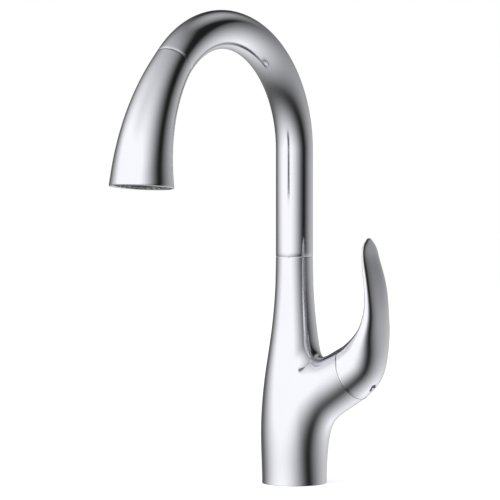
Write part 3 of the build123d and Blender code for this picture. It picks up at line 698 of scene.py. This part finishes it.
def rim_vertices(work, origin, axis, across, upward):
    """Vertices of the hole that trim() left, in order, with their angles round the axis."""
    rim = []
    for vertex in work.verts:
        if not any(edge.is_boundary for edge in vertex.link_edges):
            continue
        offset = np.array(vertex.co) - origin
        if abs(offset @ axis + EDGE) < 1e-4:
            rim.append((math.atan2(offset @ upward, offset @ across), vertex))
    return sorted(rim, key=lambda item: item[0])


def open_rim(work, flag, origin, axis, across, steps):
    """Close a hole with rings of (radius, height) that end on a middle point."""
    upward = np.cross(axis, across)
    rim = rim_vertices(work, origin, axis, across, upward)
    previous = [vertex for _, vertex in rim]
    for radius, height in steps:
        ring = []
        for angle, _ in rim:
            side = math.cos(angle) * across + math.sin(angle) * upward
            ring.append(work.verts.new(origin + radius * side + height * axis))
        for i in range(len(ring)):
            j = (i + 1) % len(ring)
            work.faces.new((previous[i], previous[j], ring[j], ring[i]))[flag] = 1
        previous = ring
    centre = work.verts.new(origin + steps[-1][1] * axis)
    for i in range(len(previous)):
        work.faces.new((previous[i], previous[(i + 1) % len(previous)], centre))[flag] = 1


def faucet_body():
    """Column and arm as one casting, open at the base, at the top and at the lever's seam."""
    points, faces = casting_surface()
    work = bmesh.new()
    vertices = [work.verts.new(point) for point in points]
    for face in faces:
        work.faces.new([vertices[i] for i in face])
    flag = work.faces.layers.int.new("inner")
    openings = [
        (ORIGIN, -Z_AXIS, X_AXIS, FOOT_STEPS),
        (BODY_TOP * Z_AXIS, Z_AXIS, X_AXIS, TOP_STEPS),
        (SEAM_POINT, ARM_AXIS, Y_AXIS, SEAM_STEPS),
    ]
    for origin, axis, _, _ in openings:
        trim(work, origin - EDGE * axis, axis)
    for origin, axis, across, steps in openings:
        open_rim(work, flag, origin, axis, across, steps)
    mesh = bpy.data.meshes.new("column_and_arm")
    work.to_mesh(mesh)
    work.free()
    return finish_body(mesh)


def finish_body(mesh):
    """Scale the casting to metres, and give its outside the exact normals of its shape."""
    places = np.zeros(len(mesh.vertices) * 3)
    mesh.vertices.foreach_get("co", places)
    places = places.reshape(-1, 3)
    slope = body_gradient(places)
    slope /= np.linalg.norm(slope, axis=1)[:, None]
    inner = np.zeros(len(mesh.polygons), int)
    mesh.attributes["inner"].data.foreach_get("value", inner)
    sizes = np.zeros(len(mesh.polygons), int)
    mesh.polygons.foreach_get("loop_total", sizes)
    corners = np.zeros(len(mesh.loops), int)
    mesh.loops.foreach_get("vertex_index", corners)
    normals = np.where(np.repeat(inner, sizes)[:, None] == 1, 0.0, slope[corners])
    mesh.vertices.foreach_set("co", (places * MM).ravel())
    smooth_off_edges(mesh)
    mesh.normals_split_custom_set(normals.tolist())
    mesh.materials.append(MATERIALS["chrome"])
    piece = add_object("column_and_arm", mesh)
    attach(piece, BODY)
    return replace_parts(piece, "faucet_body")


# ---- spout ----
def tube_rings(path, radius):
    """Rings of one radius round a path of (point, direction)."""
    return [circle(point, X_AXIS, np.cross(heading, X_AXIS), radius) for point, heading in path]


def spout_path(start, end):
    """Straight riser and arch, between a height above the worktop and the joint."""
    path = [(z * Z_AXIS, Z_AXIS) for z in np.linspace(start, ARCH_Z, RISER_ROWS)[:-1]]
    path += [(arch_point(turn), travel(turn)) for turn in np.linspace(0.0, end, ARCH_ROWS)]
    return path


def softened_tube(path, radius, soft):
    """Outside of a tube whose two rims are rounded over a small width."""
    (low, up), (high, out) = path[0], path[-1]
    steps = ((0.0, soft), (0.3 * soft, 0.3 * soft), (soft, 0.0))
    rows = [tube_rings([(low + along * up, up)], radius - inset)[0] for along, inset in steps]
    rows += tube_rings(path[1:-1], radius)
    rows += [tube_rings([(high - along * out, out)], radius - inset)[0] for along, inset in steps[::-1]]
    return rows


def spout_tube():
    """Gooseneck tube, open at both ends."""
    path = spout_path(SPOUT_LOW, DOCK_TURN)
    outside = softened_tube(path, TUBE_R, RIM)
    inside = tube_rings(path[::-1], TUBE_R - TUBE_WALL)
    points, faces = skin(outside + inside, loop=True)
    tube = build("gooseneck_tube", points, faces, "chrome", SPOUT)
    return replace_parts(tube, "spout_tube")


def hose_arch():
    """Path of the hose from the top of its riser to its end, close to the tube's own arch."""
    bend = ARCH_R - HOSE_STOP / math.tan(math.radians(DOCK_TURN / 2))
    centre = np.array((0.0, -bend, ARCH_Z + HOSE_STOP))
    path = []
    for turn in np.linspace(0.0, DOCK_TURN, HOSE_ARCH_ROWS):
        radial = np.array((0.0, math.cos(math.radians(turn)), math.sin(math.radians(turn))))
        path.append((centre + bend * radial, travel(turn)))
    return path


def spray_hose():
    """Hose in the spout: the riser, held by the spout, and the rest along the arch to the head's joint,
    with close rows at its end.
    """
    heights = np.linspace(HOSE_LOW, ARCH_Z + HOSE_STOP, HOSE_RISER_ROWS)
    riser = hose_piece("hose_riser", [(z * Z_AXIS, Z_AXIS) for z in heights])
    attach(riser, SPOUT)
    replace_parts(riser, "spray_hose")
    arch = hose_arch()
    end, heading = arch[-1]
    start = end - STRETCH * heading
    path = [place for place in arch if (place[0] - start) @ heading < -STRETCH_ROOM]
    path += [(start + share * (end - start), heading) for share in np.linspace(0.0, 1.0, STRETCH_ROWS)]
    hose = hose_piece("braided_hose", path)
    lay_out_braid(hose.data, start * MM, end * MM)
    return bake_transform(hose)


def hose_piece(name, path):
    """Stretch of hose along a path of (point, direction), open at both ends."""
    rows = tube_rings(path, HOSE_R) + tube_rings(path[::-1], HOSE_BORE_R)
    points, faces = skin(rows, loop=True)
    return build(name, points, faces, "hose_braid")


def lay_out_braid(mesh, start, end):
    """UVs in metres: round the hose, and along it as it lies when pulled right out."""
    layer = mesh.uv_layers.new(name="hose")
    length = np.linalg.norm(end - start)
    direction = (end - start) / length
    side = np.cross(direction, X_AXIS)
    for polygon in mesh.polygons:
        offsets = [np.array(mesh.vertices[i].co) - start for i in polygon.vertices]
        angles = [math.atan2(offset @ side, offset @ X_AXIS) for offset in offsets]
        over_the_join = max(angles) - min(angles) > math.pi
        for loop, angle, offset in zip(polygon.loop_indices, angles, offsets):
            along = offset @ direction
            share = ramp(along, length)
            pulled = along + share * share * (3 - 2 * share) * PULL * MM
            if over_the_join and angle < 0:
                angle += 2 * math.pi
            layer.data[loop].uv = (angle * HOSE_R * MM, pulled)


# ---- spray head ----
def head_ring(distance, radius):
    """Ring round the spray head's centreline, at a distance from its joint."""
    heading = travel(head_heading(distance))
    return circle(head_point(distance), X_AXIS, np.cross(heading, X_AXIS), radius)


def head_rows(inset, start, end, count):
    """Rings an inset below the head's outside, between two distances."""
    return [head_ring(place, head_radius(place) - inset) for place in np.linspace(start, end, count)]


def spray_shell():
    """Flared shell with a rolled lip at its mouth and a window for the selector."""
    top, mouth = SHELL_GAP, HEAD_LENGTH
    mouth_r = head_radius(mouth)
    lip_start = mouth - SHELL_LIP
    rows = [head_ring(top, TUBE_R - RIM), head_ring(top + RIM_MIDDLE, TUBE_R - RIM_MIDDLE)]
    rows += head_rows(0.0, top + RIM, lip_start, HEAD_ROWS)
    for angle in np.radians((30.0, 60.0, 90.0, 120.0, 150.0, 180.0)):
        inset = SHELL_LIP * (1 - math.cos(angle))
        rows.append(head_ring(lip_start + SHELL_LIP * math.sin(angle), mouth_r - inset))
    rows.append(head_ring(lip_start - LIP_FOOT, mouth_r - SHELL_WALL))
    rows += head_rows(SHELL_WALL, mouth - INNER_START, top, HEAD_INNER_ROWS)
    points, faces = skin(rows, loop=True)
    shell = build("spray_head_casing", points, faces, "chrome", SPRAY_HEAD)
    cut(shell, window_cutter())
    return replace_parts(shell, "spray_head_shell")


def rounded_outline(width, low, high, corner, steps=9):
    """Rounded rectangle as (across, height) points."""
    points = []
    middles = [(width / 2 - corner, high - corner, 0), (corner - width / 2, high - corner, 90)]
    middles += [(corner - width / 2, low + corner, 180), (width / 2 - corner, low + corner, 270)]
    for x, z, first in middles:
        for angle in np.radians(np.linspace(first, first + 90, steps)):
            points.append((x + corner * math.cos(angle), z + corner * math.sin(angle)))
    return points


def window_cutter():
    """Block that cuts the selector's window through the rear of the shell."""
    width = PAD_WIDTH + 2 * WINDOW_SIDE
    corner = PAD_CORNER + WINDOW_SIDE
    outline = rounded_outline(width, PAD_LOW - WINDOW_END, PAD_HIGH + WINDOW_END, corner)
    rows = []
    for depth in WINDOW_DEPTHS:
        rows.append([OUTLET_POINT + x * X_AXIS + z * OUTLET_UP + depth * OUTLET_REAR for x, z in outline])
    points, faces = skin(rows)
    return build("window", points, faces, "chrome")


def rear_surface(across, height, proud):
    """Point on the shell's rear, seen square on, raised by a height above it."""
    depth = REAR_GUESS
    for _ in range(12):
        place = OUTLET_POINT + across * X_AXIS + height * OUTLET_UP + depth * OUTLET_REAR
        distance = HEAD_LENGTH - height
        for _ in range(3):
            distance += (place - head_point(distance)) @ travel(head_heading(distance))
        offset = place - head_point(distance)
        depth += head_radius(distance) + proud - np.linalg.norm(offset)
    return OUTLET_POINT + across * X_AXIS + height * OUTLET_UP + depth * OUTLET_REAR


def pad_outline(inset):
    """Outline of the pad, drawn in by an inset."""
    low, high = PAD_LOW + inset, PAD_HIGH - inset
    return np.array(rounded_outline(PAD_WIDTH - 2 * inset, low, high, PAD_CORNER - inset))


def pad_relief(across, along):
    """Height of the pad's ribs above its plain surface, less the depth of its dish."""
    along = abs(along)
    start, stop = RIB_REACH
    fade = ramp(along - start, RIB_FADE) * ramp(stop - along, RIB_FADE)
    fade *= ramp(PAD_WIDTH / 2 - RIB_MARGIN - abs(across), RIB_SIDE_FADE)
    wave = 0.5 - 0.5 * math.cos(2 * math.pi * (along - start) / RIB_PITCH)
    return fade * RIB_HEIGHT * wave - DISH * math.exp(-((along / DISH_REACH) ** 2))


def selector_button():
    """Rocker pad with softened edges, a dished middle and grip ribs at both ends."""
    rows = []
    for height in PAD_SKIRT:
        rows.append([rear_surface(x, z, height) for x, z in pad_outline(0.0)])
    for inset, drop in PAD_ROUNDING:
        rows.append([rear_surface(x, z, PAD_PROUD - drop) for x, z in pad_outline(inset)])
    middle = (PAD_LOW + PAD_HIGH) / 2
    centre = np.array((0.0, middle))
    edge = pad_outline(PAD_EDGE)
    for share in np.linspace(1.0, PAD_MIDDLE, PAD_ROWS)[1:]:
        ring = centre + (edge - centre) * share
        rows.append([rear_surface(x, z, PAD_PROUD + pad_relief(x, z - middle)) for x, z in ring])
    points, faces = skin(rows)
    pad = build("selector_pad", points, faces, "grey_plastic", SELECTOR, PAD_SHARP)
    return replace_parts(pad, "selector_rocker")


# ---- lever ----
def lever_ring(station):
    """Section of the lever, its points spread by length and by how sharply it turns."""
    outer_x, outer_z, inner_x, inner_z, width, power = LEVER_CURVE(station)[0]
    angle = np.linspace(0.0, 2 * math.pi, RING_FINE)
    side = np.sign(np.cos(angle)) * np.abs(np.cos(angle)) ** (2 / power)
    rise = np.sign(np.sin(angle)) * np.abs(np.sin(angle)) ** (2 / power)
    centre = np.array(((outer_x + inner_x) / 2, 0.0, (outer_z + inner_z) / 2))
    across = np.array(((inner_x - outer_x) / 2, 0.0, (inner_z - outer_z) / 2))
    ring = centre + np.outer(rise, across) + np.outer(width * side, Y_AXIS)
    step = np.diff(ring, axis=0)
    length = np.linalg.norm(step, axis=1)
    flat = np.stack((step @ Y_AXIS, step @ (across / np.linalg.norm(across))), axis=1)
    heading = np.unwrap(np.arctan2(flat[:, 1], flat[:, 0]))
    turn = np.abs(np.diff(heading, append=heading[0] + 2 * math.pi))
    measure = np.concatenate(([0.0], np.cumsum(length / length.sum() + TURN_WEIGHT * turn / turn.sum())))
    wanted = np.linspace(0.0, measure[-1], LEVER_ROUND + 1)[:-1]
    return np.stack([np.interp(wanted, measure, ring[:, i]) for i in range(3)], axis=1)


def lever_rows():
    """Rings from the rim that fits the ball to the tip, equal in number of points."""
    end = LEVER_CURVE.x[-1]
    stations = np.linspace(0.0, end, LEVER_FINE)
    fine = np.array([lever_ring(station) for station in stations])
    clear = np.linalg.norm(fine - PIVOT, axis=2) - SPHERE_R
    first = np.argmax(clear > 0, axis=0)
    column = np.arange(LEVER_ROUND)
    before, after = clear[first - 1, column], clear[first, column]
    start = stations[first - 1] + (stations[1] - stations[0]) * before / (before - after)
    share = np.linspace(0.0, 1.0, LEVER_ROWS) ** ROW_BIAS
    rows = []
    for portion in share:
        place = (start + (end - start) * portion) / end * (LEVER_FINE - 1)
        low = np.minimum(place.astype(int), LEVER_FINE - 2)
        part = (place - low)[:, None]
        rows.append(fine[low, column] * (1 - part) + fine[low + 1, column] * part)
    return rows


def lever_tip(last):
    """Rings that round the lever's end off."""
    centre = last.mean(0)
    rows = []
    for angle in np.radians((25.0, 50.0, 70.0, 84.0)):
        rows.append(centre + (last - centre) * math.cos(angle) + TIP_HEIGHT * math.sin(angle) * TIP_UP)
    return rows


def lever_hollow(rim):
    """Rings that follow the ball from the lever's rim to its middle."""
    foot = rim - ((rim - SEAM_POINT) @ ARM_AXIS)[:, None] * ARM_AXIS - SEAM_POINT
    rows = []
    for share in np.linspace(1.0, HOLLOW_MIDDLE, HOLLOW_ROWS):
        radial = foot * share
        height = np.sqrt(SPHERE_R**2 - (radial**2).sum(1)) - PIVOT_DEPTH
        rows.append(SEAM_POINT + radial + height[:, None] * ARM_AXIS)
    return rows


def soft_step(ring, towards):
    """Ring moved a softened edge's width towards the next one."""
    step = towards - ring
    length = np.linalg.norm(step, axis=1)[:, None]
    return ring + step / length * np.minimum(length * 0.5, EDGE)


def lever():
    """Lever with its ball hollow, softened rim, rounded tip and set-screw hole."""
    rows = lever_rows()
    hollow = lever_hollow(rows[0])
    outer_edge = soft_step(rows[0], rows[1])
    inner_edge = soft_step(rows[0], hollow[1])
    rim = 0.5 * rows[0] + 0.25 * (outer_edge + inner_edge)
    rings = hollow[:0:-1] + [inner_edge, rim, outer_edge] + rows[1:] + lever_tip(rows[-1])
    points, faces = skin(rings)
    piece = build("lever_paddle", points, faces, "chrome", LEVER, LEVER_SHARP)
    cut(piece, screw_cutter())
    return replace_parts(piece, "lever_handle")


def screw_cutter():
    """Blind hole for the set screw, in the lever's lower outside."""
    mouth = SEAM_POINT + SCREW_MOUTH[0] * ARM_AXIS + SCREW_MOUTH[1] * ARM_UP
    aim = SEAM_POINT + SCREW_AIM[0] * ARM_AXIS + SCREW_AIM[1] * ARM_UP
    inward = (aim - mouth) / np.linalg.norm(aim - mouth)
    upward = np.cross(inward, Y_AXIS)
    rows = [circle(mouth + depth * inward, Y_AXIS, upward, SCREW_HOLE_R, 40) for depth in SCREW_DEPTHS]
    points, faces = skin(rows)
    return build("screw_hole", points, faces, "chrome")


# ---- studio ----
def camera():
    """Camera level with the middle of the faucet, aimed slightly beside it."""
    back = Vector((
        math.sin(CAMERA_AZIMUTH) * math.cos(CAMERA_ELEVATION),
        -math.cos(CAMERA_AZIMUTH) * math.cos(CAMERA_ELEVATION),
        math.sin(CAMERA_ELEVATION),
    ))
    right = Vector((math.cos(CAMERA_AZIMUTH), math.sin(CAMERA_AZIMUTH), 0.0))
    look = -back + right * AIM_RIGHT + back.cross(right) * AIM_UP
    data = bpy.data.cameras.new("camera")
    data.sensor_width = 36.0
    data.lens = CAMERA_LENS
    data.clip_start = 0.01
    eye = add_object("camera", data)
    eye.location = CAMERA_TARGET + back * CAMERA_DISTANCE
    eye.rotation_euler = look.to_track_quat("-Z", "Y").to_euler()
    bpy.context.scene.camera = eye


def soft_light(tree, direction, around, upward, full, gone, power, level):
    """Brightness of one wide light, by the angle between a direction and its middle."""
    turn, rise = CAMERA_AZIMUTH + math.radians(around), math.radians(upward)
    aim = tree.nodes.new("ShaderNodeVectorMath")
    aim.operation = "DOT_PRODUCT"
    aim.inputs[1].default_value = (
        math.sin(turn) * math.cos(rise), -math.cos(turn) * math.cos(rise), math.sin(rise)
    )
    tree.links.new(direction, aim.inputs[0])
    angle = math_node(tree, "ARCCOSINE", math_node(tree, "MINIMUM", aim.outputs["Value"], 1.0))
    fade = tree.nodes.new("ShaderNodeMapRange")
    fade.interpolation_type = "SMOOTHSTEP"
    fade.inputs["From Min"].default_value = math.radians(gone)
    fade.inputs["From Max"].default_value = math.radians(full)
    tree.links.new(angle, fade.inputs["Value"])
    return math_node(tree, "MULTIPLY", math_node(tree, "POWER", fade.outputs["Result"], power), level)


def studio():
    """Wide soft lights that only reflections and bounced light see, on a white backdrop."""
    world = bpy.data.worlds.new("studio")
    bpy.context.scene.world = world
    world.use_nodes = True
    tree = world.node_tree
    tree.nodes.clear()
    place = tree.nodes.new("ShaderNodeTexCoord")
    direction = place.outputs["Generated"]
    split = tree.nodes.new("ShaderNodeSeparateXYZ")
    tree.links.new(direction, split.inputs["Vector"])
    total = 0.0
    for light in LIGHTS:
        total = math_node(tree, "ADD", soft_light(tree, direction, *light), total)
    above = math_node(tree, "MAXIMUM", math_node(tree, "SUBTRACT", split.outputs["Z"], CEILING), 0.0)
    dimmed = math_node(tree, "SUBTRACT", 1.0, math_node(tree, "MULTIPLY", above, CEILING_DROP))
    lit = math_node(tree, "SUBTRACT", math_node(tree, "MULTIPLY", total, dimmed), SHADE)
    level = math_node(tree, "MINIMUM", math_node(tree, "MAXIMUM", lit, DEEPEST), 1.0)
    level = math_node(tree, "MULTIPLY", level, GLOW)
    seen = tree.nodes.new("ShaderNodeLightPath")
    shown = math_node(tree, "MAXIMUM", level, seen.outputs["Is Camera Ray"])
    glow = tree.nodes.new("ShaderNodeBackground")
    tree.links.new(shown, glow.inputs["Color"])
    output = tree.nodes.new("ShaderNodeOutputWorld")
    tree.links.new(glow.outputs["Background"], output.inputs["Surface"])


def floor():
    """Pale worktop that glows a little, so that it meets the white backdrop unseen."""
    mesh = bpy.data.meshes.new("floor")
    corners = [(x * FLOOR_SIZE, y * FLOOR_SIZE, 0.0) for x, y in ((-1, -1), (1, -1), (1, 1), (-1, 1))]
    mesh.from_pydata(corners, [], [(0, 1, 2, 3)])
    plane = add_object("floor", mesh)
    material, tree, surface = shader("pale_floor", (0.9, 0.9, 0.9), 0.8)
    tint(tree, noise(tree, 3.0, 2.0), (0.9, 0.9, 0.9), (0.92, 0.92, 0.92), surface.inputs["Base Color"])
    surface.inputs["Emission Color"].default_value = (1.0, 1.0, 1.0, 1.0)
    surface.inputs["Emission Strength"].default_value = FLOOR_GLOW
    mesh.materials.append(material)
    plane.visible_glossy = False


dress_cad_nodes()
faucet_body()
spout_tube()
spray_hose()
spray_shell()
selector_button()
lever()
camera()
studio()
floor()
bpy.context.scene.view_settings.view_transform = "Standard"
